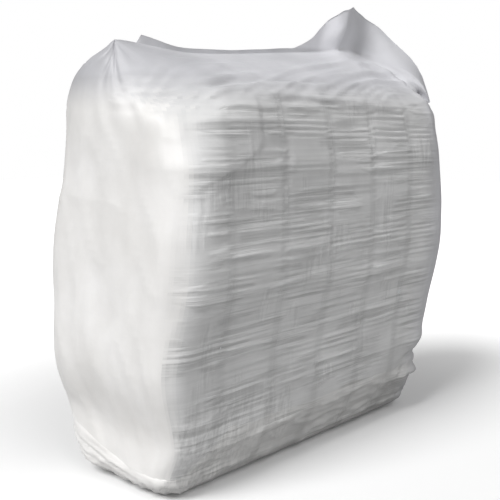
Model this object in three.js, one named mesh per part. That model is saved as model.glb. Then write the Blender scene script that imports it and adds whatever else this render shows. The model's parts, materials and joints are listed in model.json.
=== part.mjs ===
// A strapped bale of pressed white cloth in a two-piece film wrapping: a base bag that the bale stands in,
// and a hood pulled down over it, whose welded top seam ends in one loose upright ear.
//
// Millimetres, +Z up. The origin is the middle of the footprint, on the floor. X runs along the bale and
// the wide faces look along -Y and +Y. Films are drawn thicker than real film so that they stay sound solids.
import * as THREE from 'three';

// ---------------------------------------------------------------- driving dimensions

const SWELL_BASE = { length: 435, width: 165 };   // half sizes of the wrapped bale at the floor
const SWELL_BELLY = { length: 508, width: 238 };  // half sizes where it swells most
const SWELL_NECK = { length: 475, width: 216 };   // half sizes below the shoulder
const BELLY_LENGTH_Z = 320;                       // height where the ends swell most
const BELLY_WIDTH_Z = 540;                        // height where the wide faces swell most
const LEAN = 42;                                  // how far the foot sits towards +Y
const LEAN_END_Z = 520;                           // height above which the bale stands true
const CORNER_RADIUS = 78;                         // upright corners of the film
const SHOULDER_Z = 800;                           // where the hood starts to round over
const RIDGE_Z = 944;                              // height of the welded ridge over the middle
const RIDGE_SLOPE = 0.04;                         // the ridge climbs towards the ear
const RIDGE_HALF_LENGTH = 428;
const RIDGE_HALF_WIDTH = 6;

const FILM = 2;                                   // drawn thickness; the real film is 0.15
const HEM_Z = 140;                                // lower edge of the hood
const BASE_BAG_TOP_Z = 205;                       // rim of the base bag, inside the hood
const BASE_BAG_INSET = 5;                         // how far the base bag lies inside the hood's line
const BASE_ROUNDING = 45;                         // radius between the bag's floor and its wall

const LAYER_COUNT = 12;
const STACK_BOTTOM_Z = 7.2;
const STACK_TOP_Z = 838;
const LAYER_GAP = 0.4;
const LAYER_EDGE_INSET = 5;                       // how far a layer's edges draw in at its top and bottom
const PACK_INSET = { length: 45, width: 16 };     // how far the pressed stack lies inside the film
const PACK_OFFSET_X = -27;                        // the slack film is all at the +X end
const PACK_CORNER_RADIUS = 66;
const PACK_TOP_ROUNDING = 62;
const PACK_END_ROUNDING_SHARE = 0.45;             // the short ends round over less than the long sides
const PACK_BOTTOM_ROUNDING = 62;

const COVER_SHEET = 3;
const SHEET_INSET = 14;
const STRAP_COUNT = 5;
const STRAP_PITCH = 160;
const STRAP_WIDTH = 16;
const STRAP_THICKNESS = 1;
const STRAP_BITE = 9;                             // how deep a strap sinks into the pressed edges
const STRAP_BITE_FLAT = 13;                       // half width of the bottom of that groove
const STRAP_BITE_REACH = 42;                      // half width of the whole groove
const STRAP_CLEARANCE = 2.5;
const STRAP_LIFT = 1.7;                           // gap over the top sheet, which the seals' lips pass through

const SEAL_LENGTH = 32;
const SEAL_WALL = 1;
const SEAL_PLAY = 0.35;
const SEAL_LIP = 5;
const SEAL_Y = -45;

const SEAM_HEIGHT = 16;
const SEAM_THICKNESS = 2;
const EAR_THICKNESS = 2;
const EAR_START_X = 160;
const EAR_END_X = 424;
const EAR_FLANK = { x: 456, z: 976 };             // the lower corner, which overhangs the ridge's end
const EAR_TIP = { x: 332, z: 1078 };
const EAR_BROW = { x: 238, z: 1042 };             // where the ear's long edge turns down
const EAR_HINGE_CLEARANCE = 2;                    // gap between the ridge and the ear's lower edge

const TOUCH_GAP = 0.4;
const CORNER_STEPS = 4;

// ---------------------------------------------------------------- materials

function material(colour, roughness, metalness = 0) {
  return new THREE.MeshStandardMaterial({ color: colour, roughness, metalness });
}

const filmMaterial = material(0xd9dadb, 0.35);
const seamMaterial = material(0xc9cacc, 0.4);
const clothMaterial = material(0xe9e8e5, 0.95);
const sheetMaterial = material(0xdcdbd6, 0.8);
const strapMaterial = material(0xeceff0, 0.45);
const sealMaterial = material(0xb4b8bb, 0.35, 1);

// ---------------------------------------------------------------- the shape of the wrapped bale

// Swells from low to belly over [0, bellyZ], and eases back to neck at the shoulder.
function swell(z, low, belly, neck, bellyZ) {
  if (z < bellyZ) {
    return low + (belly - low) * Math.sin((Math.PI / 2) * (Math.max(z, 0) / bellyZ));
  }
  const share = Math.min((z - bellyZ) / (SHOULDER_Z - bellyZ), 1);
  return neck + (belly - neck) * Math.cos((Math.PI / 2) * share);
}

// Half length and half width of the wrapping's side wall at height z.
function wallSize(z) {
  return {
    length: swell(z, SWELL_BASE.length, SWELL_BELLY.length, SWELL_NECK.length, BELLY_LENGTH_Z),
    width: swell(z, SWELL_BASE.width, SWELL_BELLY.width, SWELL_NECK.width, BELLY_WIDTH_Z),
  };
}

// How far the cross-section at height z sits towards +Y: the pressed cloth slumps over its foot.
function leanAt(z) {
  return LEAN * Math.max(0, 1 - z / LEAN_END_Z) ** 1.5;
}

// How far a rounded edge of this radius draws in at a distance from the flat it rounds into.
function roundingInset(distance, radius) {
  if (distance >= radius) return 0;
  return radius - Math.sqrt(radius ** 2 - (radius - distance) ** 2);
}

function ridgeHeight(x) {
  return RIDGE_Z + RIDGE_SLOPE * x;
}

// Half length and half width of the pressed stack at height z.
function packSize(z) {
  const wall = wallSize(z);
  const inset = roundingInset(STACK_TOP_Z - z, PACK_TOP_ROUNDING)
    + roundingInset(z - STACK_BOTTOM_Z, PACK_BOTTOM_ROUNDING);
  return {
    length: wall.length - PACK_INSET.length - inset * PACK_END_ROUNDING_SHARE,
    width: wall.width - PACK_INSET.width - inset,
  };
}

function strapStations() {
  const middle = (STRAP_COUNT - 1) / 2;
  return Array.from({ length: STRAP_COUNT }, (_, i) => (i - middle) * STRAP_PITCH);
}

// Depth of the groove that the straps press into the stack's long sides at x.
function strapGroove(x) {
  const nearest = Math.min(...strapStations().map((station) => Math.abs(x - station)));
  return STRAP_BITE * (1 - THREE.MathUtils.smoothstep(nearest, STRAP_BITE_FLAT, STRAP_BITE_REACH));
}

// ---------------------------------------------------------------- outlines and lofts

// A closed outline from its +Y half, which runs from the +X end to the -X end. Point i mirrors point n - i.
function mirrored(half) {
  const inner = half.slice(1, -1).reverse();
  return [...half, ...inner.map(([x, y]) => [x, -y])];
}

function cornerArc(halfLength, halfWidth, radius) {
  return Array.from({ length: CORNER_STEPS + 1 }, (_, k) => {
    const angle = (Math.PI / 2) * (k / CORNER_STEPS);
    return [halfLength - radius + radius * Math.cos(angle), halfWidth - radius + radius * Math.sin(angle)];
  });
}

// A rounded rectangle with points along its long sides, so that the ridge's height can follow x.
function filmOutline(halfLength, halfWidth) {
  const radius = Math.min(CORNER_RADIUS, halfWidth);
  const arc = cornerArc(halfLength, halfWidth, radius);
  const steps = 8;
  const straight = Array.from({ length: steps - 1 }, (_, k) => {
    return [(halfLength - radius) * (1 - (2 * (k + 1)) / steps), halfWidth];
  });
  const farArc = arc.map(([x, y]) => [-x, y]).reverse();
  return mirrored([[halfLength, 0], ...arc, ...straight, ...farArc, [-halfLength, 0]]);
}

// Half width of the pressed stack at x, with its rounded corners and the straps' grooves.
function packHalfWidth(x, size) {
  const corner = roundingInset(size.length - Math.abs(x), PACK_CORNER_RADIUS);
  return size.width - corner - strapGroove(x);
}

function packOutline(size) {
  const cornerXs = Array.from({ length: CORNER_STEPS }, (_, k) => {
    const angle = (Math.PI / 2) * ((k + 1) / CORNER_STEPS);
    return size.length - PACK_CORNER_RADIUS * (1 - Math.sin(angle));
  }).map((x) => x - 0.5);
  const grooveXs = strapStations()
    .flatMap((station) => [-STRAP_BITE_REACH, -STRAP_BITE_FLAT, STRAP_BITE_FLAT, STRAP_BITE_REACH]
      .map((edge) => THREE.MathUtils.clamp(station + edge, 2 - size.length, size.length - 2)));
  const xs = [...cornerXs, ...grooveXs, ...cornerXs.map((x) => -x)].sort((a, b) => b - a);
  const side = xs.map((x) => [x, packHalfWidth(x, size)]);
  const endWidth = size.width - PACK_CORNER_RADIUS;
  return mirrored([[size.length, 0], [size.length, endWidth], ...side, [-size.length, endWidth], [-size.length, 0]]);
}

// A ring of points at one height, or at the height that a function of x gives, leaning as the bale does.
function ring(outline, height) {
  return outline.map(([x, y]) => {
    const z = typeof height === 'function' ? height(x) : height;
    return [x, y + leanAt(z), z];
  });
}

// Closes a stack of rings into one body. Each end is capped by a ladder of faces across its mirrored points.
function loft(rings) {
  const count = rings[0].length;
  const faces = [];
  const at = (level, i) => level * count + (i % count);
  for (let level = 0; level < rings.length - 1; level += 1) {
    for (let i = 0; i < count; i += 1) {
      faces.push(at(level, i), at(level, i + 1), at(level + 1, i + 1));
      faces.push(at(level, i), at(level + 1, i + 1), at(level + 1, i));
    }
  }
  for (const [level, flip] of [[0, true], [rings.length - 1, false]]) {
    const add = (a, b, c) => (flip ? faces.push(at(level, a), at(level, c), at(level, b))
      : faces.push(at(level, a), at(level, b), at(level, c)));
    for (let i = 0; i < count / 2; i += 1) {
      const mirror = (count - i) % count;
      if (i > 0) add(i, i + 1, mirror);
      if (i + 1 < count / 2) add(i + 1, count - i - 1, mirror);
    }
  }
  const geometry = new THREE.BufferGeometry();
  geometry.setAttribute('position', new THREE.Float32BufferAttribute(rings.flat(2), 3));
  geometry.setIndex(faces);
  geometry.computeVertexNormals();
  return geometry;
}

// A plate cut to a shape drawn in the XZ plane, centred on Y.
function uprightPlate(shape, thickness, curveSegments = 6) {
  const geometry = new THREE.ExtrudeGeometry(shape, { depth: thickness, bevelEnabled: false, curveSegments });
  geometry.rotateX(Math.PI / 2);
  geometry.translate(0, thickness / 2, 0);
  return geometry;
}

// ---------------------------------------------------------------- the pressed stack

function layerHeights(index) {
  const pitch = (STACK_TOP_Z - STACK_BOTTOM_Z) / LAYER_COUNT;
  const low = STACK_BOTTOM_Z + index * pitch;
  return { low: low + LAYER_GAP / 2, high: low + pitch - LAYER_GAP / 2 };
}

// One layer of pressed cloth: full through its middle, drawn in where it meets its neighbours.
function pressedLayer(index) {
  const { low, high } = layerHeights(index);
  const levels = [[0, LAYER_EDGE_INSET], [0.3, 0], [0.7, 0], [1, LAYER_EDGE_INSET]];
  const rings = levels.map(([share, inset]) => {
    const z = THREE.MathUtils.lerp(low, high, share);
    const size = packSize(z);
    return ring(packOutline({ length: size.length - inset, width: size.width - inset }), z);
  });
  return loft(rings);
}

// A flat interleaf, as large as the face of the stack that it covers.
function coverSheet(faceZ, inset) {
  const face = packSize(faceZ);
  const size = { length: face.length - inset, width: face.width - inset };
  const outline = packOutline(size).map(([x, y]) => [x, y + leanAt(faceZ)]);
  return loft([-0.5, 0.5].map((side) => outline.map(([x, y]) => [x, y, side * COVER_SHEET])));
}

// ---------------------------------------------------------------- straps and seals

const topSheetTopZ = STACK_TOP_Z + TOUCH_GAP + COVER_SHEET;
const strapTopZ = topSheetTopZ + STRAP_LIFT;
const strapBottomZ = STACK_BOTTOM_Z - COVER_SHEET - 2 * TOUCH_GAP;

// The strap's inner line in the YZ plane: up one wide face, over the top, down the other and underneath.
function strapLine(station, offset) {
  const innerEdge = Math.max(Math.abs(station) - STRAP_WIDTH / 2, 0);
  const lineY = (z) => packHalfWidth(innerEdge, packSize(z)) + STRAP_CLEARANCE + offset;
  const side = [];
  for (let index = 0; index < LAYER_COUNT; index += 1) {
    const { low, high } = layerHeights(index);
    for (const share of [0.3, 0.7]) {
      const z = THREE.MathUtils.lerp(low, high, share);
      side.push([lineY(z), z]);
    }
  }
  const half = [
    [lineY(STACK_BOTTOM_Z), strapBottomZ - offset],
    ...side,
    [lineY(STACK_TOP_Z), strapTopZ + offset],
  ];
  const loop = [...half, ...half.map(([y, z]) => [-y, z]).reverse()];
  return loop.map(([y, z]) => [y + leanAt(z), z]);
}

// A closed loop of strapping, STRAP_WIDTH wide along X.
function strapLoop(station) {
  const toPoints = (line) => line.map(([y, z]) => new THREE.Vector2(y, z));
  const shape = new THREE.Shape(toPoints(strapLine(station, STRAP_THICKNESS)));
  shape.holes.push(new THREE.Path(toPoints(strapLine(station, 0))));
  const geometry = new THREE.ExtrudeGeometry(shape, { depth: STRAP_WIDTH, bevelEnabled: false });
  geometry.translate(0, 0, -STRAP_WIDTH / 2);
  geometry.rotateY(Math.PI / 2);
  geometry.rotateX(Math.PI / 2);
  return geometry;
}

// A crimped sleeve round the strap, open below between its two lips.
function strapSeal() {
  const innerX = STRAP_WIDTH / 2 + SEAL_PLAY;
  const innerTop = STRAP_THICKNESS / 2 + SEAL_PLAY;
  const outerX = innerX + SEAL_WALL;
  const outerZ = innerTop + SEAL_WALL;
  const right = [
    [innerX - SEAL_LIP, -outerZ],
    [outerX - 0.5, -outerZ],
    [outerX, -outerZ + 0.5],
    [outerX, outerZ - 0.5],
    [outerX - 0.5, outerZ],
  ];
  const rightInside = [[innerX, innerTop], [innerX, -innerTop], [innerX - SEAL_LIP, -innerTop]];
  const flipX = ([x, z]) => [-x, z];
  const outline = [
    ...right,
    ...right.map(flipX).reverse(),
    ...rightInside.map(flipX).reverse(),
    ...rightInside,
  ];
  const shape = new THREE.Shape(outline.map(([x, z]) => new THREE.Vector2(x, z)));
  return uprightPlate(shape, SEAL_LENGTH);
}

// ---------------------------------------------------------------- the film

// Rings of the hood's skin from its hem up to the ridge, moved inwards by inset.
function hoodRings(inset) {
  const wallHeights = [HEM_Z, 210, 320, 430, 540, 640, 720, SHOULDER_Z];
  const wall = wallHeights.map((z) => {
    const size = wallSize(z);
    return ring(filmOutline(size.length - inset, size.width - inset), z);
  });
  const neck = wallSize(SHOULDER_Z);
  const turns = [15, 30, 45, 60, 75, 90].map((degrees) => {
    const angle = THREE.MathUtils.degToRad(degrees);
    const length = THREE.MathUtils.lerp(RIDGE_HALF_LENGTH, neck.length, Math.cos(angle)) - inset;
    const width = THREE.MathUtils.lerp(RIDGE_HALF_WIDTH, neck.width, Math.cos(angle)) - inset;
    const height = (x) => SHOULDER_Z + (ridgeHeight(x) - SHOULDER_Z - inset) * Math.sin(angle);
    return ring(filmOutline(length, width), height);
  });
  return [...wall, ...turns];
}

// The hood is one skin: down inside from the ridge to the hem, and back up outside.
function filmHood() {
  return loft([...hoodRings(FILM).reverse(), ...hoodRings(0)]);
}

// Rings of the base bag's skin from its floor up to its rim.
function baseBagRings(inset) {
  const turns = [0, 30, 60, 90].map((degrees) => {
    const angle = THREE.MathUtils.degToRad(degrees);
    const z = BASE_ROUNDING * (1 - Math.cos(angle));
    return { z, drawnIn: BASE_ROUNDING * (1 - Math.sin(angle)) };
  });
  const wall = [100, 135, 170, BASE_BAG_TOP_Z].map((z) => ({ z, drawnIn: 0 }));
  return [...turns, ...wall].map(({ z, drawnIn }) => {
    const size = wallSize(z);
    const total = drawnIn + BASE_BAG_INSET + inset;
    const height = inset > 0 && z < BASE_ROUNDING ? Math.max(z, inset) : z;
    return ring(filmOutline(size.length - total, size.width - total), height);
  });
}

function baseBag() {
  return loft([...baseBagRings(0), ...baseBagRings(FILM).reverse()]);
}

// The weld along the ridge, from the left end to where the ear begins.
function topSeam() {
  const startX = -RIDGE_HALF_LENGTH + 50;
  const endX = EAR_START_X - 6;
  const shape = new THREE.Shape();
  shape.moveTo(startX, ridgeHeight(startX) + TOUCH_GAP);
  shape.lineTo(endX, ridgeHeight(endX) + TOUCH_GAP);
  shape.lineTo(endX, ridgeHeight(endX) + SEAM_HEIGHT);
  shape.lineTo(startX, ridgeHeight(startX) + SEAM_HEIGHT);
  return uprightPlate(shape, SEAM_THICKNESS);
}

// The loose end of the seam: a pointed leaf of doubled film.
function earLeaf() {
  const baseZ = (x) => ridgeHeight(x) + EAR_HINGE_CLEARANCE;
  const shape = new THREE.Shape();
  shape.moveTo(EAR_START_X, baseZ(EAR_START_X));
  shape.lineTo(EAR_END_X, baseZ(EAR_END_X));
  shape.lineTo(EAR_FLANK.x, EAR_FLANK.z);
  shape.quadraticCurveTo(420, 1046, EAR_TIP.x, EAR_TIP.z);
  shape.quadraticCurveTo(300, 1066, EAR_BROW.x, EAR_BROW.z);
  shape.quadraticCurveTo(196, 1004, EAR_START_X, baseZ(EAR_START_X));
  return uprightPlate(shape, EAR_THICKNESS);
}

// ---------------------------------------------------------------- assembly

const bale = new THREE.Group();
const pack = new THREE.Group();
pack.position.x = PACK_OFFSET_X;
bale.add(pack);

function addPart(parent, name, geometry, meshMaterial, [x, y, z] = [0, 0, 0]) {
  const mesh = new THREE.Mesh(geometry, meshMaterial);
  mesh.name = name;
  mesh.position.set(x, y, z);
  parent.add(mesh);
}

for (let index = 0; index < LAYER_COUNT; index += 1) {
  const number = String(index + 1).padStart(2, '0');
  addPart(pack, `pressed_layer_${number}`, pressedLayer(index), clothMaterial);
}

const bottomSheetZ = STACK_BOTTOM_Z - TOUCH_GAP - COVER_SHEET / 2;
const topSheetZ = STACK_TOP_Z + TOUCH_GAP + COVER_SHEET / 2;
addPart(pack, 'bottom_cover_sheet', coverSheet(STACK_BOTTOM_Z, SHEET_INSET), sheetMaterial, [0, 0, bottomSheetZ]);
addPart(pack, 'top_cover_sheet', coverSheet(STACK_TOP_Z, SHEET_INSET), sheetMaterial, [0, 0, topSheetZ]);

strapStations().forEach((station, index) => {
  const sealZ = strapTopZ + STRAP_THICKNESS / 2;
  addPart(pack, `baling_strap_${index + 1}`, strapLoop(station), strapMaterial, [station, 0, 0]);
  addPart(pack, `strap_seal_${index + 1}`, strapSeal(), sealMaterial, [station, SEAL_Y, sealZ]);
});

addPart(bale, 'base_film_bag', baseBag(), filmMaterial);
addPart(bale, 'film_hood', filmHood(), filmMaterial);
addPart(bale, 'top_weld_seam', topSeam(), seamMaterial);
addPart(bale, 'hood_ear', earLeaf(), filmMaterial);

export default bale;
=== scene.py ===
"""The look of a strapped bale of pressed white cloth in a film hood and base bag, round its CAD frame."""

import json
import math

import bpy
import numpy as np
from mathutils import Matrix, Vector

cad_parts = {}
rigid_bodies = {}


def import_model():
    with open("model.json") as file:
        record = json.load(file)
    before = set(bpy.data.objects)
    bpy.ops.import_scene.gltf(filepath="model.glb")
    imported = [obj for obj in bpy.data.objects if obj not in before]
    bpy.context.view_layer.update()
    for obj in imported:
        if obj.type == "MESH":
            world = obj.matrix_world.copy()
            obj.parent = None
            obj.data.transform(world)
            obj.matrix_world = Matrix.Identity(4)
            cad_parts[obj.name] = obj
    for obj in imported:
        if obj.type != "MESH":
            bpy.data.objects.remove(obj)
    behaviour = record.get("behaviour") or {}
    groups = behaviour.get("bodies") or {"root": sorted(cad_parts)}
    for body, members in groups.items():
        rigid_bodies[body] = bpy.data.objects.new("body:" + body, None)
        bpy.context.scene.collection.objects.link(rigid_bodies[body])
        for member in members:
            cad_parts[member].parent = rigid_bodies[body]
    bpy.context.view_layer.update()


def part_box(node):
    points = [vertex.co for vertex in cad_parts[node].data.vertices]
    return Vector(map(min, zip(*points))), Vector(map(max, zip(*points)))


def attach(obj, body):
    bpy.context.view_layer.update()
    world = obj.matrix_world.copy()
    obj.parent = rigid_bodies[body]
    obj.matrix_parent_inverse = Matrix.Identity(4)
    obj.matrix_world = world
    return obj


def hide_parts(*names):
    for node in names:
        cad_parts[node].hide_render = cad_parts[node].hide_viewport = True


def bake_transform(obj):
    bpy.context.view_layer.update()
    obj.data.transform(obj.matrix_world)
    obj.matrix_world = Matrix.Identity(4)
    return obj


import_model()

# ------------------------------------------------------------------ dimensions, in metres

# Profiles of the film's side wall by height: left and right half lengths, front and back half widths.
WALL_Z = [0.0, 0.05, 0.13, 0.30, 0.50, 0.70, 0.80]
WALL = {
    "left": [0.430, 0.451, 0.462, 0.498, 0.485, 0.468, 0.468],
    "right": [0.472, 0.487, 0.470, 0.504, 0.510, 0.503, 0.494],
    "front": [0.124, 0.138, 0.175, 0.192, 0.223, 0.220, 0.207],
    "back": [0.200, 0.214, 0.228, 0.228, 0.240, 0.224, 0.210],
}
CORNER_R = 0.085
SHOULDER_Z = 0.775
HEM_Z = 0.142
BAG_RIM_Z = 0.215
# Where the top bends over the pack's edge, and the ridge along its middle, by x.
EDGE_X = [-0.47, -0.37, -0.28, -0.10, 0.05, 0.15, 0.26, 0.36, 0.49]
EDGE_Z = [0.812, 0.846, 0.857, 0.867, 0.868, 0.861, 0.844, 0.832, 0.846]
EDGE_BACK_Z = 0.900
EDGE_SHARPNESS = 2.4
RIDGE_X = [-0.46, -0.40, -0.25, -0.10, 0.05, 0.20, 0.30, 0.39, 0.43, 0.455, 0.470]
RIDGE_Z = [0.926, 0.932, 0.930, 0.937, 0.948, 0.955, 0.956, 0.952, 0.915, 0.874, 0.832]
RIDGE_LEFT, RIDGE_RIGHT = 0.415, 0.470
# The ear's free edge over its foot: height, place across, and how far it leans out to the right.
EAR_FOOT = [0.090, 0.178, 0.198, 0.235, 0.268, 0.288, 0.314, 0.350, 0.385, 0.420, 0.440, 0.455, 0.470]
EAR_TOP = [0.957, 0.994, 1.012, 1.044, 1.064, 1.069, 1.078, 1.059, 1.031, 0.982, 0.947, 0.906, 0.836]
EAR_ACROSS = [0.0, 0.0, 0.0, 0.0, 0.0, 0.0, 0.0, -0.008, -0.030, -0.070, -0.100, -0.125, -0.166]
EAR_OUT = [0.0, 0.0, 0.0, 0.0, 0.0, 0.0, 0.004, 0.030, 0.043, 0.048, 0.048, 0.040, 0.002]
EAR_FOLD, FOOT_FOLD = 0.018, 0.020
FIN_GAP = 0.0012
STRAP_X = [-0.347, -0.187, -0.027, 0.133, 0.293]
STRAP_SHOWS = [0.25, 1.0, 0.35, 0.8, 0.6]          # how far the film is drawn in over each strap
STRAP_PITCH = STRAP_X[1] - STRAP_X[0]
STRAP_WIDTH = 0.016
PACK_RIGHT_SLACK = 0.062
PACK_ROUNDING = 0.062
FILM_SLACK = 0.013                                # the least room between the cloth and the film round it
PACK_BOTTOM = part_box("pressed_layer_01")[0][2]
PACK_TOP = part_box("pressed_layer_12")[1][2]

LINE_PAINTED_SHADE, LINE_PAINTED_LIGHT = 0.80, 1.12                # painted shade in the level lines, and painted light between them

SKY_LIGHT, KEY_LIGHT, FILL_LIGHT = 0.20, 2.72, 0.82
FLOOR_SEEN, FLOOR_BOUNCE = 0.92, 0.44             # the floor's brightness to the camera, and as a reflector
KEY_DIRECTION, FILL_DIRECTION = (0.70, 0.01, -0.71), (0.15, 0.70, -0.70)

# Points along each part of a ring: long sides, short sides and corners.
LONG, SHORT, CORNER = 96, 26, 14


# ------------------------------------------------------------------ helpers

def smooth(a, b, x):
    t = np.clip((np.asarray(x, float) - a) / (b - a), 0.0, 1.0)
    return t * t * (3 - 2 * t)


def bump(x, centre, width):
    return np.exp(-(((np.asarray(x, float) - centre) / width) ** 2))


def pchip(xs, ys, x):
    """A monotone cubic through the points, so that a profile doesn't overshoot its knots."""
    xs, ys, x = (np.asarray(v, float) for v in (xs, ys, x))
    h, d = np.diff(xs), np.diff(ys) / np.diff(xs)
    m = np.zeros(len(xs))
    m[0], m[-1] = d[0], d[-1]
    same = d[:-1] * d[1:] > 0
    w1, w2 = 2 * h[1:] + h[:-1], h[1:] + 2 * h[:-1]
    with np.errstate(divide="ignore", invalid="ignore"):
        m[1:-1] = np.where(same, (w1 + w2) / (w1 / d[:-1] + w2 / d[1:]), 0.0)
    i = np.clip(np.searchsorted(xs, x) - 1, 0, len(h) - 1)
    t = np.clip((x - xs[i]) / h[i], 0, 1)
    return (
        (2 * t**3 - 3 * t**2 + 1) * ys[i]
        + (t**3 - 2 * t**2 + t) * h[i] * m[i]
        + (3 * t**2 - 2 * t**3) * ys[i + 1]
        + (t**3 - t**2) * h[i] * m[i + 1]
    )


class Noise:
    """Seeded gradient noise of two coordinates, about -1 to 1."""

    def __init__(self, seed):
        rng = np.random.default_rng(seed)
        self.perm = np.concatenate([rng.permutation(256)] * 2)
        angle = rng.uniform(0, 2 * math.pi, 256)
        self.grad = np.stack([np.cos(angle), np.sin(angle)], -1)

    def __call__(self, x, y):
        x, y = np.broadcast_arrays(np.asarray(x, float), np.asarray(y, float))
        ix, iy = np.floor(x).astype(int), np.floor(y).astype(int)
        fx, fy = x - ix, y - iy
        u, v = (f**3 * (f * (f * 6 - 15) + 10) for f in (fx, fy))

        def corner(dx, dy):
            g = self.grad[self.perm[(self.perm[(ix + dx) & 255] + iy + dy) & 255]]
            return g[..., 0] * (fx - dx) + g[..., 1] * (fy - dy)

        low = corner(0, 0) * (1 - u) + corner(1, 0) * u
        high = corner(0, 1) * (1 - u) + corner(1, 1) * u
        return 1.5 * (low * (1 - v) + high * v)

    def crease(self, x, y, sharp=1.0):
        """Narrow raised lines on a level ground, about 0 to 1."""
        return np.clip(1 - np.abs(self(x, y)) * 2.2, 0, 1) ** (1 + sharp)


def outline(left, right, front, back, radius, near=None):
    """A ring of a rounded rectangle, the same count of points on each part whatever its size.

    near is the radius of its front left-hand corner, where that isn't the same.
    """
    most = 0.92 * (front + back) / 2
    r = min(radius, most)
    n = min(near or radius, most)
    def arc(cx, cy, start, size=r):
        a = np.radians(start + 90 * (np.arange(CORNER) + 0.5) / CORNER)
        return np.stack([cx + size * np.cos(a), cy + size * np.sin(a)], -1)
    def line(p, q, count):
        t = ((np.arange(count) + 0.5) / count)[:, None]
        return np.array(p) * (1 - t) + np.array(q) * t
    return np.concatenate([
        line((-left + n, -front), (right - r, -front), LONG),
        arc(right - r, -front + r, 270),
        line((right, -front + r), (right, back - r), SHORT),
        arc(right - r, back - r, 0),
        line((right - r, back), (-left + r, back), LONG),
        arc(-left + r, back - r, 90),
        line((-left, back - r), (-left, -front + n), SHORT),
        arc(-left + n, -front + n, 180, n),
    ])


RING = 2 * (LONG + SHORT) + 4 * CORNER


def near_corner(z):
    """The front left-hand corner is sharper towards the floor."""
    return 0.052 + (CORNER_R - 0.052) * float(smooth(0.15, 0.50, z))


def wall(z, inset=0.0):
    left, right, front, back = (float(pchip(WALL_Z, WALL[k], z)) - inset for k in ("left", "right", "front", "back"))
    return left, right, front, back


def grid_mesh(name, grid, cap_top=None, cap_bottom=None):
    """A mesh from rings of points (levels, RING, 3). cap_* True closes an end across its mirrored points."""
    levels, count = grid.shape[:2]
    base = np.arange(levels - 1)[:, None] * count
    i = np.arange(count)
    j = (i + 1) % count
    quads = np.stack([base + i, base + j, base + count + j, base + count + i], -1).reshape(-1, 4)
    faces = quads.tolist()
    verts = grid.reshape(-1, 3)
    for cap, level in ((cap_bottom, 0), (cap_top, levels - 1)):
        if cap:
            half = count // 2
            start = SHORT // 2 + CORNER + LONG
            order = (start + np.arange(count)) % count + level * count
            side_a, side_b = order[:half], order[half:][::-1]
            for a0, a1, b1, b0 in zip(side_a[:-1], side_a[1:], side_b[1:], side_b[:-1]):
                faces.append([int(a0), int(a1), int(b1), int(b0)] if level == 0 else [int(b0), int(b1), int(a1), int(a0)])
    mesh = bpy.data.meshes.new(name)
    mesh.from_pydata([tuple(v) for v in verts], [], faces)
    mesh.update()
    for p in mesh.polygons:
        p.use_smooth = True
    obj = bpy.data.objects.new(name, mesh)
    bpy.context.scene.collection.objects.link(obj)
    return obj


def normals_of(grid):
    """Outward normals of a closed ring grid."""
    du = np.roll(grid, -1, axis=1) - np.roll(grid, 1, axis=1)
    dv = np.gradient(grid, axis=0)
    n = np.cross(du, dv)
    return n / np.maximum(np.linalg.norm(n, axis=-1, keepdims=True), 1e-9)


def soften(grid, passes, weight):
    """Evens out a ring grid between its first and last rings, each point by its weight from 0 to 1."""
    weight = np.broadcast_to(weight, grid.shape[:2])[1:-1, :, None]
    for _ in range(passes):
        around = (np.roll(grid, 1, axis=1) + np.roll(grid, -1, axis=1))[1:-1]
        even = (2 * grid[1:-1] + around + grid[:-2] + grid[2:]) / 6
        grid[1:-1] += (even - grid[1:-1]) * weight
    return grid


# ------------------------------------------------------------------ the shape of the film

def ridge_height(x):
    return pchip(RIDGE_X, RIDGE_Z, np.clip(x, RIDGE_X[0], RIDGE_X[-1]))


def ridge_y(x):
    """The ridge runs along the middle as far as the ear, then down towards the front right-hand corner."""
    end = -0.165 * smooth(0.355, 0.475, x) + 0.045 * (1 - smooth(-0.43, -0.30, x))
    return end - FOOT_FOLD * ear_fold(x - 0.250)


def ear_fold(across):
    """The ear's one long fold, 0 to 1, with its crest at 0."""
    return np.clip(np.minimum(1 + across / 0.050, 1 - across / 0.15), 0, 1) ** 1.3


def seam_height(x):
    """The low welded seam, with a tip at its left end."""
    low = 0.008 + 0.002 * np.sin(x * 23) + 0.012 * bump(x, -0.368, 0.060) + 0.003 * bump(x, -0.06, 0.05)
    return low * smooth(-0.372, -0.367, x) * (1 - smooth(0.36, 0.42, x))


def ear_edge(x, ys):
    return pchip(EAR_FOOT, ys, np.clip(x, EAR_FOOT[0], EAR_FOOT[-1]))


def tent(x, y):
    """The film drawn up round the ear's foot."""
    dx, dy = x - 0.31, y - ridge_y(x)
    d = np.hypot(dx * 0.6, dy)
    return 0.020 * np.exp(-d / 0.045) * smooth(0.0, 0.10, 0.24 - d)


def corner_slump(x, z):
    """How far the top of the near left-hand corner falls in from the wide face."""
    return 0.008 * smooth(0.68, 0.83, z) * (1 - smooth(-0.42, -0.21, x)) * (1 - smooth(0.83, 0.90, z))


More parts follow.
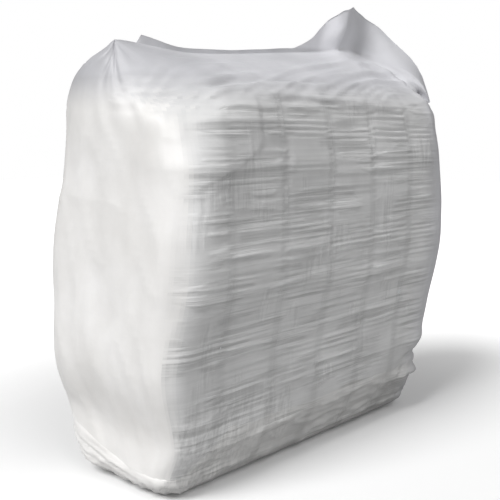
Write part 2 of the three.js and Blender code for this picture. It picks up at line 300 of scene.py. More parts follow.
def hood_rings():
    rings = []
    for z in np.linspace(HEM_Z, SHOULDER_Z, 226):
        ring = outline(*wall(z), CORNER_R, near_corner(z))
        rings.append(np.column_stack([ring, np.full(RING, z)]))
    left, right, front, back = wall(SHOULDER_Z)
    edge = pchip(EDGE_X, EDGE_Z, np.clip(rings[-1][:, 0], EDGE_X[0], EDGE_X[-1]))
    edge += (EDGE_BACK_Z - edge) * smooth(-0.06, 0.14, rings[-1][:, 1])
    for t in np.linspace(0, 1, 52)[1:]:
        below, over = (1 - t) ** EDGE_SHARPNESS, t ** EDGE_SHARPNESS
        fall = 1 - over
        ring = outline(
            RIDGE_LEFT + (left - RIDGE_LEFT) * fall,
            RIDGE_RIGHT + (right - RIDGE_RIGHT) * fall,
            FIN_GAP + (front - FIN_GAP) * fall,
            FIN_GAP + (back - FIN_GAP) * fall,
            CORNER_R,
            CORNER_R + 0.09 * t,
        )
        x, y = ring.T
        y = y + ridge_y(x) * over**1.3
        z = edge + (SHOULDER_Z - edge) * below + (ridge_height(x) - edge) * over
        rings.append(np.column_stack([x, y, z + tent(x, y) * smooth(0.3, 0.95, over)]))
    rings = np.array(rings)
    rings[..., 1] += corner_slump(rings[..., 0], rings[..., 2]) * smooth(0.08, 0.15, -rings[..., 1])
    # The far left-hand corner is puffed up.
    puff = np.hypot(rings[..., 0] + 0.415, (rings[..., 1] - 0.070) * 0.8)
    rings[..., 2] += 0.019 * bump(puff, 0.0, 0.090) * smooth(SHOULDER_Z, SHOULDER_Z + 0.08, rings[..., 2])
    level = np.arange(len(rings))[:, None]
    clear = 1 - smooth(len(rings) - 8, len(rings) - 1, level)
    rings = soften(rings, 40, smooth(150, 215, level) * clear)
    near_left = (1 - smooth(-0.40, -0.33, rings[..., 0])) * (1 - smooth(-0.02, 0.06, rings[..., 1]))
    return soften(rings, 160, near_left * smooth(195, 225, level) * clear)


def side_fields(grid, normal):
    """Weights of the wide faces, the narrow ends and the top, by where the film faces."""
    up = smooth(0.35, 0.9, normal[..., 2])
    wide = smooth(0.45, 0.85, np.abs(normal[..., 1])) * (1 - up)
    end = smooth(0.45, 0.85, np.abs(normal[..., 0])) * (1 - up)
    return wide, end, up


def along_ring(grid):
    """Distance round each ring, from its first point."""
    step = np.linalg.norm(np.diff(grid, axis=1, append=grid[:, :1]), axis=-1)
    middle = step[len(step) // 3]
    return np.concatenate([[0], np.cumsum(middle)[:-1]])[None, :] * np.ones((len(grid), 1))


def film_relief(grid, normal):
    """Height of the film's creases over its smooth shape, in metres."""
    x, y, z = grid[..., 0], grid[..., 1], grid[..., 2]
    s = along_ring(grid)
    wide, end, up = side_fields(grid, normal)
    right_slack = smooth(0.375, 0.425, x)
    layered = wide * (1 - right_slack) * smooth(0.15, 0.20, z) * (1 - smooth(0.83, 0.88, z))
    # The film stands off the pack's top left-hand corner, with a crease where it meets the cloth.
    inside = smooth(-0.258, -0.232, x + 0.30 * (1 - smooth(0.58, 0.75, z)))
    inside = np.minimum(inside, 1 - smooth(0.812, 0.832, z + 0.012 * np.sin(x * 9)))
    layered = layered * (0.35 + 0.65 * inside) * smooth(-0.425, -0.365, x)

    # Level creases over the edges of the pressed cloth, in patches, stepped a little at each strap.
    relief = np.zeros(x.shape)
    strap = np.zeros(x.shape)
    step = np.zeros(x.shape)
    cell = np.zeros(x.shape)
    for k, sx in enumerate(STRAP_X):
        place = sx + 0.006 * np.sin(z * 9 + k)
        strap = np.maximum(strap, STRAP_SHOWS[k] * bump(x, place, 0.012))
        step = step + (-1) ** k * 0.0022 * smooth(place - 0.008, place + 0.008, x)
        cell = cell + smooth(place - 0.012, place + 0.012, x)
    level = z + step + 0.006 * np.sin((x + 0.1) * 3.1) + 0.003 * n1(x / 0.60, z / 0.30)
    patch = np.clip(0.22 + 2.3 * n4(cell * 2.7 + x / 0.50, level / 0.050), 0.0, 1.4)
    phase = level / 0.0130 + 0.4 * n1(cell * 0.6 + x / 0.90, level / 0.10) + 0.06 * n5(x / 0.20, level / 0.03)
    roll = np.abs(np.sin(phase * math.pi)) ** 0.6 - 0.72
    spare = np.clip(0.5 + 1.2 * n2(cell * 1.9 + x / 0.30, level / 0.09), 0.0, 1.2)
    relief += layered * patch * 0.0036 * roll
    relief += layered * 0.0034 * n2(x / 0.700, level / 0.060)
    relief += layered * spare * 0.0024 * n3(cell * 0.5 + x / 0.60, level / 0.0150)
    relief += layered * spare * 0.0034 * (n6.crease(cell * 0.7 + x / 0.90, level / 0.034, 2.6) - 0.15)
    relief += layered * 0.0040 * n5(x / 0.120, z / 0.150)
    broken = np.clip(0.45 + 1.0 * n5(x / 0.30, z / 0.11), 0, 1.2)
    relief += wide * (1 - right_slack) * -0.0026 * broken * strap * smooth(0.2, 0.3, z) * (1 - smooth(0.80, 0.86, z))
    # Short upright ticks where the film clings between folds.
    ticks = np.clip(n1(x / 0.11 + 5, z / 0.09) * 2 - 0.5, 0, 1)
    relief += layered * ticks * 0.0016 * n4(x / 0.016, z / 0.060)
    relief += wide * (y < 0) * 0.004 * (1 - inside) * smooth(0.60, 0.72, z) * (1 - smooth(0.86, 0.90, z))
    rim = bump(inside, 0.5, 0.33) * smooth(0.66, 0.76, z)
    relief -= wide * (y < 0) * 0.0050 * rim * (0.6 + 0.6 * n1(x / 0.03, z / 0.03))
    # A welt along the front top edge, with a crease over it.
    edge = pchip(EDGE_X, EDGE_Z, np.clip(x, EDGE_X[0], EDGE_X[-1])) + 0.004 * n2(x / 0.10, 1.0)
    front = smooth(0.10, 0.14, -y) * smooth(-0.42, -0.36, x) * (1 - smooth(-0.02, 0.10, x))
    relief += front * (0.0055 * bump(z, edge - 0.006, 0.008) - 0.0065 * bump(z, edge + 0.006, 0.006))
    # The hood's hem is pinched into a lip at the foot of the front right-hand corner.
    lip = smooth(0.33, 0.41, x) * smooth(0.0, 0.08, -y)
    relief += lip * (0.007 * bump(z, 0.205, 0.022) - 0.014 * bump(z, 0.166 + 0.10 * (x - 0.42), 0.009))

    # Upright soft folds in the slack at the right-hand end and round it.
    slack = np.maximum(right_slack * (1 - up), end * (x > 0))
    relief += slack * (0.0045 * n1(s / 0.055, z / 0.42) + 0.0022 * n2(s / 0.024, z / 0.22))

    # The left end is drawn smooth, with long shallow folds.
    left = end * (x < 0)
    relief += left * (0.0042 * n3(s / 0.085 + z * 1.8, z / 0.30) + 0.0016 * n4(s / 0.030 - z * 2.4, z / 0.12))
    relief += left * 0.0022 * n5.crease(s / 0.09 + z * 3.2, z / 0.25, 2.0)

    # Corner creases.
    corner = np.clip(1 - wide - end - up, 0, 1)
    relief += corner * (0.0025 * n6(s / 0.022, z / 0.10) + 0.0018 * n2(s / 0.05, z / 0.035))

    # Long creases over the top, drawn together towards the ear's foot.
    r = np.hypot(x - 0.33, y)
    fan = y / (0.09 + 0.42 * r)
    over = up * smooth(0.02, 0.08, r) * smooth(0.02, 0.12, np.hypot(x + RIDGE_LEFT, y - 0.045))
    relief += over * 0.0046 * (n3.crease(fan * 8.5 + 1.3, r / 0.60, 1.0) - 0.3)
    relief += over * 0.0030 * n4(fan * 15 + 2.2, r / 0.45)
    relief += over * 0.0014 * n5(fan * 34, r / 0.30)
    # A crease with a bright rim runs beside the ear's foot.
    beside = (y - ridge_y(x)) / (1 + 0.8 * smooth(0.33, 0.42, x))
    rim = smooth(0.24, 0.30, x) * (1 - smooth(0.43, 0.46, x)) * smooth(0.80, 0.86, z)
    relief += rim * (0.0050 * bump(beside, -0.050, 0.009) - 0.0060 * bump(beside, -0.034, 0.008))
    # Slack puckers near the left end, and along the shoulder.
    relief += over * smooth(0.35, 0.65, r) * 0.0045 * (n6.crease(x / 0.24, y / 0.045 + x * 4, 1.2) - 0.2)
    shoulder = smooth(0.79, 0.83, z) * (1 - smooth(0.86, 0.90, z))
    relief += shoulder * (y < 0) * 0.0030 * n1(x / 0.200, z / 0.018)

    # The hem is gathered in under the bulge.
    hem = 1 - smooth(HEM_Z, HEM_Z + 0.055, z)
    relief += hem * (0.0014 * n2(s / 0.060, z / 0.2) + 0.0006 * n4(s / 0.020, z / 0.2) - 0.0030)
    relief -= 0.004 * bump(z, HEM_Z + 0.045, 0.020) * (0.6 + 0.8 * n5(s / 0.10, 2.0))
    near_strap = np.min([np.abs(x - sx) for sx in STRAP_X], axis=0) < 0.014
    floor = np.where(near_strap & (z > 0.16) & (z < 0.87), -0.0028, -0.0090)
    return np.maximum(relief, floor * wide - 0.02 * (1 - wide))


n1, n2, n3, n4, n5, n6 = (Noise(seed) for seed in (11, 23, 37, 41, 59, 67))


def left_hem(y):
    """The hem's height along the left-hand end."""
    return HEM_Z - 0.085 * (1 - 0.75 * smooth(-0.05, 0.19, y))


def pull_down_left(moved):
    """Brings the hem down the left-hand end, against the wall there."""
    x, y, z = moved[..., 0], moved[..., 1], moved[..., 2]
    down = (HEM_Z - left_hem(y)) * smooth(0.30, 0.43, -x) * (1 - smooth(HEM_Z, HEM_Z + 0.12, z))
    left, front, back = (
        pchip(WALL_Z, WALL[k], z - down) - pchip(WALL_Z, WALL[k], z) for k in ("left", "front", "back")
    )
    moved[..., 0] -= left * smooth(0.38, 0.44, -x)
    moved[..., 1] += back * smooth(0.05, 0.12, y) - front * smooth(0.05, 0.12, -y)
    moved[..., 2] -= down


def build_hood(film):
    body = film.copy()
    normal = normals_of(body)
    fade = np.ones(len(body))
    fade[-8:] = np.linspace(1, 0.0, 8)
    moved = body + normal * (film_relief(body, normal) * fade[:, None])[..., None]
    drop = 0.010 * n1(along_ring(body) / 0.16, 4.0) * (1 - smooth(HEM_Z, HEM_Z + 0.10, moved[..., 2]))
    drop *= 1 - 0.7 * smooth(0.34, 0.43, -body[..., 0])
    moved[..., 2] += drop
    pull_down_left(moved)
    ridge = moved[-1]
    x = ridge[:, 0]
    top = np.maximum(ridge[:, 2] + seam_height(x), np.where(x > EAR_FOOT[0], ear_edge(x, EAR_TOP), 0))
    height = top - ridge[:, 2]
    tall = smooth(0.02, 0.07, height)
    far = smooth(0.318, 0.360, x)
    fin = []
    steps = 20
    for k in range(1, steps + 1):
        t = k / steps
        p = ridge.copy()
        p[:, 0] = x + ear_edge(x, EAR_OUT) * t
        p[:, 2] = ridge[:, 2] + height * t
        middle = ridge_y(x) * (1 - t * far) + ear_edge(x, EAR_ACROSS) * t * far
        # One long fold, convex towards the front, with finer waves over it.
        fold = ear_fold(p[:, 0] - (0.250 + 0.25 * (p[:, 2] - 0.95)))
        middle = middle - EAR_FOLD * fold * tall * smooth(0.0, 0.6, t)
        middle = middle + (0.0012 + 0.0045 * tall) * t * n2(p[:, 0] / 0.040, p[:, 2] / 0.12)
        p[:, 1] = middle + (ridge[:, 1] - ridge_y(x)) * (0.04 + 0.96 * (1 - t) ** 1.4)
        fin.append(p)
    grid = np.concatenate([moved, np.array(fin)])
    return grid_mesh("hood_film", grid, cap_top=True)


def build_base_bag():
    levels = []
    for angle in np.radians(np.linspace(0, 90, 12)):
        r = 0.045
        levels.append((r * (1 - math.cos(angle)), r * (1 - math.sin(angle))))
    levels += [(z, 0.0) for z in np.linspace(0.050, BAG_RIM_Z, 38)]
    rings = []
    for z, inset in levels:
        ring = outline(*wall(z, inset + 0.0025), CORNER_R, near_corner(z))
        rings.append(np.column_stack([ring, np.full(RING, z)]))
    body = np.array(rings)
    normal = normals_of(body)
    x, y, z = body[..., 0], body[..., 1], body[..., 2]
    s = along_ring(body)
    free = smooth(0.004, 0.03, z)
    left = np.maximum(smooth(0.36, 0.44, -x), smooth(0.22, 0.34, -x) * (y > 0))
    front_right = smooth(0.20, 0.40, x) * smooth(0.05, 0.12, -y)
    visible = (1 - 0.8 * smooth(0.120, 0.150, z)) * (1 - 0.75 * smooth(0.38, 0.43, -x))
    relief = free * visible * 0.0042 * (n1.crease(s / 0.13, z / 0.040, 0.5) - 0.25)
    relief += free * visible * 0.0030 * n3(s / 0.080, z / 0.024)
    upright = smooth(0.05, 0.12, -y) * (1 - smooth(-0.20, 0.05, x))
    relief += free * upright * 0.0024 * n5(s / 0.012, z / 0.11)
    relief += free * (1 - upright) * visible * 0.0018 * n5(s / 0.030, z / 0.013)
    # Spare film bunched along the left-hand foot, most at the back, and a pinched lip at the right.
    wedge = left * smooth(0.0, 0.022, left_hem(y) - 0.004 - z)
    slant = z - 0.24 * (y + 0.15)
    for k, size in enumerate((0.006, 0.007, 0.006, 0.007, 0.006, 0.005)):
        wavy = 0.055 - 0.020 * k + 0.007 * n2(s / 0.11, k * 3.1) + 0.003 * n3(s / 0.040, k * 1.7)
        relief += wedge * size * bump(slant, wavy, 0.0048) * (0.6 + 0.9 * n4(s / 0.06, k * 2.7))
    relief += wedge * 0.0034 * (n6.crease(s / 0.09, slant / 0.013, 1.0) - 0.2)
    relief += front_right * 0.010 * bump(z, 0.118, 0.012)
    relief += front_right * free * 0.0050 * (n4.crease((x - z * 0.9) / 0.050, z / 0.12, 0.8) - 0.3)
    at_left = smooth(0.30, 0.43, -x)
    hem = HEM_Z - (HEM_Z - left_hem(y)) * at_left
    covered = smooth(hem - 0.006, hem + 0.014, z)
    relief = relief * (1 - 0.8 * covered * at_left) - (0.004 + 0.005 * at_left) * covered
    relief -= 0.012 * smooth(0.33, 0.41, x) * smooth(0.0, 0.08, -y) * smooth(0.146, 0.160, z)
    grid = body + normal * relief[..., None]
    grid[..., 2] = np.maximum(grid[..., 2], 0.0004)
    return grid_mesh("base_bag_film", grid, cap_bottom=True)


# ------------------------------------------------------------------ the pressed cloth

def pack_ring(z, inset):
    left, right, front, back = wall(min(z, SHOULDER_Z), 0.0)
    top, low = rounding(PACK_TOP - z), rounding(z - PACK_BOTTOM)
    width_in = 0.014 + inset + top + low
    return outline(
        left - 0.016 - inset - (top + low) * 0.45,
        right - PACK_RIGHT_SLACK - inset - (top + low) * 0.45,
        front - width_in,
        back - width_in,
        0.066,
    )


def rounding(depth):
    """How far the pack's edge draws in at a depth inside its top or bottom face."""
    return PACK_ROUNDING - math.sqrt(max(PACK_ROUNDING**2 - max(PACK_ROUNDING - depth, 0) ** 2, 0))


def keep_inside(body, film):
    """Draws cloth in wherever the film over it comes closer than the slack left for it."""
    for i in range(RING):
        height = film[:, i, 2]
        x = np.interp(body[:, i, 2], height, film[:, i, 0])
        y = np.interp(body[:, i, 2], height, film[:, i, 1])
        for axis, at in ((0, x), (1, y)):
            reach = np.maximum(np.abs(at) - FILM_SLACK, 0.0)
            body[:, i, axis] = np.clip(body[:, i, axis], -reach if at.mean() < 0 else -1.0, reach if at.mean() > 0 else 1.0)


def build_layer(index, film):
    """One pressed charge: a stack of folded cloths, whose rounded folds show as level lines."""
    low, high = (corner[2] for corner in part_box(f"pressed_layer_{index + 1:02d}"))
    folds = 5
    zs = np.linspace(low, high, folds * 5 + 1)
    rings = []
    for z in zs:
        ring = pack_ring(z, 0.0)
        ring[:, 1] += corner_slump(ring[:, 0], z) * smooth(0.10, 0.14, -ring[:, 1])
        rings.append(np.column_stack([ring, np.full(RING, z)]))
    body = np.array(rings)
    keep_inside(body, film)
    normal = normals_of(body)
    x, z = body[..., 0], body[..., 2]
    s = along_ring(body)
    phase = (z - low) / (high - low) * folds + 0.35 * n1(s / 0.16, index * 5.3)
    roll = np.sqrt(np.abs(np.sin(phase * math.pi)))
    relief = 0.0032 * (roll - 1) * (0.75 + 0.5 * n2(s / 0.09, phase * 0.9 + index * 3))
    relief += 0.0020 * n3(s / 0.07, z / 0.012)
    for sx in STRAP_X:
        relief -= 0.0075 * bump(x, sx, 0.020) * (np.abs(normal[..., 1]) > 0.5)
    edge = 1 - np.minimum(1, np.minimum(z - low, high - z) / 0.006)
    relief *= 0.3 + 0.7 * (np.abs(normal[..., 1]) > 0.5)
    relief -= (0.0006 + 0.0014 * (np.abs(normal[..., 1]) > 0.5)) * edge
    grid = body + normal * relief[..., None]
    grid[..., 2] = np.clip(grid[..., 2], low, high)
    return grid_mesh(f"cloth_layer_{index + 1:02d}", grid, cap_top=True, cap_bottom=True)


# ------------------------------------------------------------------ materials

def new_material(name):
    m = bpy.data.materials.new(name)
    m.use_nodes = True
    tree = m.node_tree
    return m, tree, tree.nodes["Principled BSDF"]


def noise_node(tree, scale, detail=4.0, coords=None, stretch=None):
    n = tree.nodes.new("ShaderNodeTexNoise")
    n.inputs["Scale"].default_value = scale
    n.inputs["Detail"].default_value = detail
    source = tree.nodes.new("ShaderNodeTexCoord").outputs["Object"] if coords is None else coords
    if stretch is not None:
        mapping = tree.nodes.new("ShaderNodeMapping")
        mapping.inputs["Scale"].default_value = stretch
        tree.links.new(source, mapping.inputs["Vector"])
        source = mapping.outputs["Vector"]
    tree.links.new(source, n.inputs["Vector"])
    return n.outputs["Fac"]


def ramp_node(tree, value, stops):
    r = tree.nodes.new("ShaderNodeValToRGB")
    while len(r.color_ramp.elements) < len(stops):
        r.color_ramp.elements.new(0.5)
    for e, (pos, colour) in zip(r.color_ramp.elements, stops):
        e.position = pos
        e.color = (*colour, 1) if len(colour) == 3 else colour
    tree.links.new(value, r.inputs["Fac"])
    return r.outputs["Color"]


def bump_node(tree, height, strength, distance, normal=None):
    b = tree.nodes.new("ShaderNodeBump")
    b.inputs["Strength"].default_value = strength
    b.inputs["Distance"].default_value = distance
    tree.links.new(height, b.inputs["Height"])
    if normal is not None:
        tree.links.new(normal, b.inputs["Normal"])
    return b.outputs["Normal"]


def math_node(tree, operation, a, b):
    m = tree.nodes.new("ShaderNodeMath")
    m.operation = operation
    for socket, value in zip(m.inputs, (a, b)):
        if isinstance(value, (int, float)):
            socket.default_value = value
        else:
            tree.links.new(value, socket)
    return m.outputs["Value"]


def map_node(tree, value, low, high, to_low, to_high):
    m = tree.nodes.new("ShaderNodeMapRange")
    m.interpolation_type = "SMOOTHSTEP"
    for socket, number in zip(list(m.inputs)[1:5], (low, high, to_low, to_high)):
        socket.default_value = number
    tree.links.new(value, m.inputs["Value"])
    return m.outputs["Result"]


def blend_value(tree, share, at_none, at_full):
    m = tree.nodes.new("ShaderNodeMix")
    tree.links.new(share, m.inputs["Factor"])
    m.inputs[2].default_value = at_none
    tree.links.new(at_full, m.inputs[3])
    return m.outputs[0]


def blend_colour(tree, share, at_none, at_full):
    m = tree.nodes.new("ShaderNodeMix")
    m.data_type = "RGBA"
    for socket, value in ((m.inputs["Factor"], share), (m.inputs[6], at_none), (m.inputs[7], at_full)):
        tree.links.new(value, socket)
    return m.outputs[2]


def scaled_colour(tree, colour, factor):
    v = tree.nodes.new("ShaderNodeVectorMath")
    v.operation = "SCALE"
    tree.links.new(colour, v.inputs[0])
    tree.links.new(factor, v.inputs["Scale"])
    return v.outputs["Vector"]


def film_material(name, tint, clear, cloudy):
    """Cloudy film over the folds' edges: patchy haze, and level lines with painted light and shade. It is bluer and
    dimmer where it hangs free, partly painted shade, and has more light and shade painted in by place and facing.
    """
    m, tree, shader = new_material(name)
    haze = noise_node(tree, 7.0, 5.0)
    lines = noise_node(tree, 1.0, 4.0, stretch=(3.0, 3.0, 135))
    fine = noise_node(tree, 1.0, 3.0, stretch=(9, 9, 380))
    upright = noise_node(tree, 1.0, 3.0, stretch=(120, 120, 9))
    place = tree.nodes.new("ShaderNodeSeparateXYZ")
    tree.links.new(tree.nodes.new("ShaderNodeTexCoord").outputs["Object"], place.inputs["Vector"])
    facing = tree.nodes.new("ShaderNodeSeparateXYZ")
    tree.links.new(tree.nodes.new("ShaderNodeNewGeometry").outputs["True Normal"], facing.inputs["Vector"])
    slack_end = map_node(tree, place.outputs["X"], 0.34, 0.47, 0.0, 1.0)
    slack_top = map_node(tree, place.outputs["Z"], 0.80, 0.89, 0.0, 1.0)
    free = math_node(tree, "MAXIMUM", slack_end, slack_top)
    wide = map_node(tree, math_node(tree, "ABSOLUTE", facing.outputs["Y"], 0.0), 0.55, 0.92, 0.0, 1.0)
    clings = math_node(tree, "MULTIPLY", wide, math_node(tree, "SUBTRACT", 1.0, free))

    offset = math_node(tree, "SUBTRACT", place.outputs["X"], STRAP_X[0] - STRAP_PITCH / 2)
    cell = math_node(tree, "MODULO", offset, STRAP_PITCH)
    from_strap = math_node(tree, "ABSOLUTE", math_node(tree, "SUBTRACT", cell, STRAP_PITCH / 2), 0.0)

    # Level lines of painted light and painted shade in patches, and upright ticks of painted light and shade in
    # others and near the foot.
    patches = map_node(tree, noise_node(tree, 1.0, 3.0, stretch=(5, 5, 17)), 0.45, 0.57, 0.06, 1.0)
    drawn = math_node(tree, "MULTIPLY", clings, patches)
    foot = map_node(tree, place.outputs["Z"], 0.16, 0.27, 1.0, 0.0)
    foot = math_node(tree, "MULTIPLY", foot, map_node(tree, place.outputs["X"], -0.30, -0.12, 1.0, 0.0))
    ticks = map_node(tree, noise_node(tree, 1.0, 2.0, stretch=(11, 11, 8)), 0.56, 0.66, 0.0, 0.8)
    ticks = math_node(tree, "MULTIPLY", clings, math_node(tree, "MAXIMUM", ticks, foot))
    shade = blend_value(tree, drawn, 1.0, map_node(tree, lines, 0.40, 0.60, LINE_PAINTED_SHADE, LINE_PAINTED_LIGHT))
    tick_shade = blend_value(tree, ticks, 1.0, map_node(tree, upright, 0.36, 0.64, 0.88, 1.08))
    shade = math_node(tree, "MULTIPLY", shade, tick_shade)

    # Painted shade in a band along each strap.
    band = map_node(tree, from_strap, 0.004, 0.022, 0.90, 1.0)
    shade = math_node(tree, "MULTIPLY", shade, blend_value(tree, clings, 1.0, band))

    # Painted shade over the far left-hand corner of the top; along the foot, painted light at the left turning to
    # painted shade towards the right-hand foot.
    far_left_painted_shade = map_node(tree, place.outputs["X"], -0.42, -0.20, 0.81, 1.03)
    shade = math_node(tree, "MULTIPLY", shade, blend_value(tree, slack_top, 1.0, far_left_painted_shade))
    low = map_node(tree, place.outputs["Z"], 0.13, 0.22, 1.0, 0.0)
    foot_painted_light_and_shade = map_node(tree, place.outputs["X"], -0.40, 0.42, 1.13, 0.87)
    shade = math_node(tree, "MULTIPLY", shade, blend_value(tree, low, 1.0, foot_painted_light_and_shade))
    # Painted light low on the left-hand end.
    on_end = map_node(tree, facing.outputs["X"], -0.85, -0.45, 1.0, 0.0)
    low_end_painted_light = map_node(tree, place.outputs["Z"], 0.15, 0.45, 1.05, 1.0)
    shade = math_node(tree, "MULTIPLY", shade, blend_value(tree, on_end, 1.0, low_end_painted_light))
    # Painted light on the ear to the left of its fold, and painted shade towards its free edge.
    rise = math_node(tree, "MULTIPLY", math_node(tree, "SUBTRACT", place.outputs["Z"], 0.95), 0.25)
    from_fold = math_node(tree, "SUBTRACT", place.outputs["X"], rise)
    right_part = math_node(tree, "MAXIMUM", math_node(tree, "SUBTRACT", place.outputs["X"], 0.34), 0.0)
    over_foot = math_node(tree, "ADD", place.outputs["Z"], math_node(tree, "MULTIPLY", right_part, 0.7))
    on_ear = map_node(tree, over_foot, 0.958, 0.972, 0.0, 1.0)
    ear_painted_light_and_shade = math_node(
        tree, "MULTIPLY",
        map_node(tree, from_fold, 0.250, 0.258, 1.27, 1.12), map_node(tree, from_fold, 0.29, 0.35, 1.0, 0.80),
    )
    shade = math_node(tree, "MULTIPLY", shade, blend_value(tree, on_ear, 1.0, ear_painted_light_and_shade))

    # Tone varies at random with the haze. The left-hand end, facing the key light, gets a lighter colour as painted
    # light; the top, ear and right-hand end get a darker, bluer one, partly film hanging free of the cloth and partly
    # painted shade.
    close = ramp_node(tree, haze, [(0.30, tuple(c * 0.90 for c in tint)), (0.70, tint)])
    away = ramp_node(tree, haze, [(0.30, (0.60, 0.60, 0.63)), (0.70, (0.69, 0.69, 0.72))])
    left_end_painted_light = ramp_node(tree, haze, [(0.30, (0.87, 0.855, 0.835)), (0.70, (0.92, 0.91, 0.90))])
    colour = blend_colour(tree, free, blend_colour(tree, on_end, close, left_end_painted_light), away)
    tree.links.new(scaled_colour(tree, colour, shade), shader.inputs["Base Color"])

    level_haze = math_node(tree, "MULTIPLY", blend_value(tree, clings, 0.5, lines), 0.4)
    streaks = math_node(tree, "ADD", math_node(tree, "MULTIPLY", haze, 0.6), level_haze)
    alpha = ramp_node(tree, streaks, [(0.30, (clear,) * 3), (0.72, (cloudy,) * 3)])
    tree.links.new(math_node(tree, "MAXIMUM", alpha, math_node(tree, "MULTIPLY", free, 0.95)), shader.inputs["Alpha"])
    rough = ramp_node(tree, haze, [(0.3, (0.42,) * 3), (0.7, (0.54,) * 3)])
    tree.links.new(rough, shader.inputs["Roughness"])

    # Each strap's edges press two upright lines into the film.
    from_edge = math_node(tree, "ABSOLUTE", math_node(tree, "SUBTRACT", from_strap, STRAP_WIDTH / 2), 0.0)
    edge = map_node(tree, from_edge, 0.0, 0.004, 1.0, 0.0)
    worn = map_node(tree, noise_node(tree, 1.0, 3.0, stretch=(8, 8, 9)), 0.44, 0.66, 0.0, 1.0)
    edge = math_node(tree, "MULTIPLY", math_node(tree, "MULTIPLY", edge, worn), clings)
    height = math_node(tree, "MULTIPLY", lines, math_node(tree, "ADD", drawn, 0.03))
    height = math_node(tree, "ADD", height, math_node(tree, "MULTIPLY", upright, math_node(tree, "MULTIPLY", ticks, 0.7)))
    height = math_node(tree, "ADD", height, math_node(tree, "MULTIPLY", edge, 0.25))
    normal = bump_node(tree, height, 0.9, 0.0028)
    normal = bump_node(tree, math_node(tree, "MULTIPLY", fine, drawn), 0.7, 0.0010, normal)
    normal = bump_node(tree, noise_node(tree, 30.0, 6.0), 0.25, 0.0024, normal)
    tree.links.new(normal, shader.inputs["Normal"])
    return m


def cloth_material():
    m, tree, shader = new_material("pressed_cloth")
    folds = noise_node(tree, 1.0, 4.0, stretch=(5, 5, 110))
    tone = noise_node(tree, 7.0, 3.0)
    mix = math_node(tree, "ADD", math_node(tree, "MULTIPLY", folds, 0.65), math_node(tree, "MULTIPLY", tone, 0.35))
    colour = ramp_node(tree, mix, [(0.30, (0.60, 0.60, 0.61)), (0.46, (0.80, 0.80, 0.80)), (0.70, (0.90, 0.895, 0.885))])
    tree.links.new(colour, shader.inputs["Base Color"])
    shader.inputs["Roughness"].default_value = 0.92
    shader.inputs["Sheen Weight"].default_value = 0.25
    wave = tree.nodes.new("ShaderNodeTexWave")
    wave.inputs["Scale"].default_value = 260.0
    wave.inputs["Distortion"].default_value = 1.2
    wave.bands_direction = "DIAGONAL"
    tree.links.new(tree.nodes.new("ShaderNodeTexCoord").outputs["Object"], wave.inputs["Vector"])
    normal = bump_node(tree, folds, 0.8, 0.004)
    normal = bump_node(tree, wave.outputs["Fac"], 0.25, 0.0006, normal)
    tree.links.new(normal, shader.inputs["Normal"])
    return m


def board_material():
    m, tree, shader = new_material("cover_board")
    fibre = noise_node(tree, 60.0, 6.0, stretch=(0.3, 1, 1))
    colour = ramp_node(tree, fibre, [(0.3, (0.62, 0.58, 0.50)), (0.7, (0.74, 0.71, 0.64))])
    tree.links.new(colour, shader.inputs["Base Color"])
    shader.inputs["Roughness"].default_value = 0.88
    tree.links.new(bump_node(tree, fibre, 0.3, 0.0006), shader.inputs["Normal"])
    return m


def strap_material():
    m, tree, shader = new_material("strapping")
    ribs = tree.nodes.new("ShaderNodeTexWave")
    ribs.inputs["Scale"].default_value = 420.0
    tree.links.new(tree.nodes.new("ShaderNodeTexCoord").outputs["Object"], ribs.inputs["Vector"])
    colour = ramp_node(tree, ribs.outputs["Fac"], [(0.2, (0.66, 0.68, 0.69)), (0.8, (0.82, 0.83, 0.84))])
    tree.links.new(colour, shader.inputs["Base Color"])
    shader.inputs["Roughness"].default_value = 0.42
    tree.links.new(bump_node(tree, ribs.outputs["Fac"], 0.4, 0.0003), shader.inputs["Normal"])
    return m


def steel_material():
    m, tree, shader = new_material("seal_steel")
    brushed = noise_node(tree, 90.0, 4.0, stretch=(8, 0.4, 1))
    colour = ramp_node(tree, brushed, [(0.3, (0.46, 0.47, 0.48)), (0.7, (0.66, 0.67, 0.68))])
    tree.links.new(colour, shader.inputs["Base Color"])
    shader.inputs["Metallic"].default_value = 1.0
    rough = ramp_node(tree, brushed, [(0.3, (0.30,) * 3), (0.7, (0.46,) * 3)])
    tree.links.new(rough, shader.inputs["Roughness"])
    tree.links.new(bump_node(tree, brushed, 0.2, 0.0002), shader.inputs["Normal"])
    return m


def floor_material():
    """A pale floor that brightens to white away from the object, so that it has no edge."""
    m, tree, shader = new_material("studio_floor")
    shader.inputs["Roughness"].default_value = 0.9
    shader.inputs["Emission Color"].default_value = (1, 1, 1, 1)
    seen = tree.nodes.new("ShaderNodeLightPath").outputs["Is Camera Ray"]
    tree.links.new(map_node(tree, seen, 0.0, 1.0, FLOOR_BOUNCE, FLOOR_SEEN), shader.inputs["Base Color"])
    radius = tree.nodes.new("ShaderNodeVectorMath")
    radius.operation = "LENGTH"
    tree.links.new(tree.nodes.new("ShaderNodeTexCoord").outputs["Object"], radius.inputs[0])
    far = map_node(tree, radius.outputs["Value"], 0.5, 1.7, 0.03, 0.40)
    tree.links.new(math_node(tree, "MULTIPLY", far, seen), shader.inputs["Emission Strength"])
    return m


# ------------------------------------------------------------------ assembly

def set_material(obj, material):
    obj.data.materials.clear()
    obj.data.materials.append(material)


hood_look = film_material("hood_film", (0.80, 0.80, 0.80), 0.78, 0.96)
bag_look = film_material("base_film", (0.80, 0.795, 0.785), 0.76, 0.95)
cloth_look = cloth_material()
board_look, strap_look, steel_look = board_material(), strap_material(), steel_material()

bag = build_base_bag()
set_material(bag, bag_look)
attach(bag, "bale")
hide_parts("base_film_bag")

film_shape = hood_rings()
for index in range(12):
    layer = build_layer(index, film_shape)
    set_material(layer, cloth_look)
    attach(layer, "bale")
    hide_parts(f"pressed_layer_{index + 1:02d}")

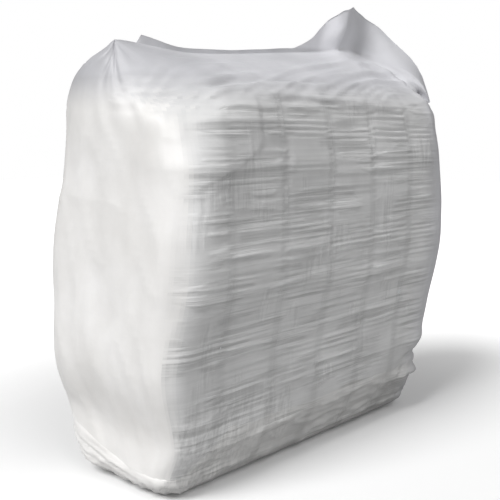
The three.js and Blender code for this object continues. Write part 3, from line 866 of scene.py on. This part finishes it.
hood = build_hood(film_shape)
set_material(hood, hood_look)
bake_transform(hood)
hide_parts("film_hood", "top_weld_seam", "hood_ear")

for node in bpy.data.objects:
    if node.name.startswith("baling_strap"):
        set_material(node, strap_look)
    elif node.name.startswith("strap_seal"):
        set_material(node, steel_look)
    elif node.name.endswith("cover_sheet"):
        set_material(node, board_look)

# ------------------------------------------------------------------ the set

def look_rotation(direction):
    return Vector(direction).to_track_quat("-Z", "Y").to_euler()


mesh = bpy.data.meshes.new("studio_floor")
mesh.from_pydata([(-9, -9, 0), (9, -9, 0), (9, 9, 0), (-9, 9, 0)], [], [(0, 1, 2, 3)])
floor = bpy.data.objects.new("studio_floor", mesh)
bpy.context.scene.collection.objects.link(floor)
set_material(floor, floor_material())

world = bpy.data.worlds.new("studio")
bpy.context.scene.world = world
world.use_nodes = True
sky = world.node_tree.nodes["Background"]
sky.inputs["Color"].default_value = (1, 1, 1, 1)
path = world.node_tree.nodes.new("ShaderNodeLightPath")
seen = world.node_tree.nodes.new("ShaderNodeMapRange")
seen.inputs["To Min"].default_value = SKY_LIGHT
seen.inputs["To Max"].default_value = 1.0
world.node_tree.links.new(path.outputs["Is Camera Ray"], seen.inputs["Value"])
world.node_tree.links.new(seen.outputs["Result"], sky.inputs["Strength"])

for name, energy, spread, direction in (
    ("key", KEY_LIGHT, 28, KEY_DIRECTION),
    ("fill", FILL_LIGHT, 40, FILL_DIRECTION),
):
    sun = bpy.data.lights.new(name, "SUN")
    sun.energy = energy
    sun.angle = math.radians(spread)
    lamp = bpy.data.objects.new(name, sun)
    bpy.context.scene.collection.objects.link(lamp)
    lamp.rotation_euler = look_rotation(direction)

CAMERA = {"azimuth": -47.39, "elevation": 8.49, "distance": 2.03, "target": (-0.0548, 0.0, 0.48), "focal_px": 847.2}
a, e = math.radians(CAMERA["azimuth"]), math.radians(CAMERA["elevation"])
back = np.array([math.sin(a) * math.cos(e), -math.cos(a) * math.cos(e), math.sin(e)])
camera = bpy.data.objects.new("camera", bpy.data.cameras.new("camera"))
bpy.context.scene.collection.objects.link(camera)
camera.location = np.array(CAMERA["target"]) + back * CAMERA["distance"]
camera.rotation_euler = look_rotation(-back)
camera.data.sensor_width = 36.0
camera.data.lens = CAMERA["focal_px"] / 500 * 36.0
camera.data.clip_start = 0.05
bpy.context.scene.camera = camera
bpy.context.scene.view_settings.view_transform = "Standard"
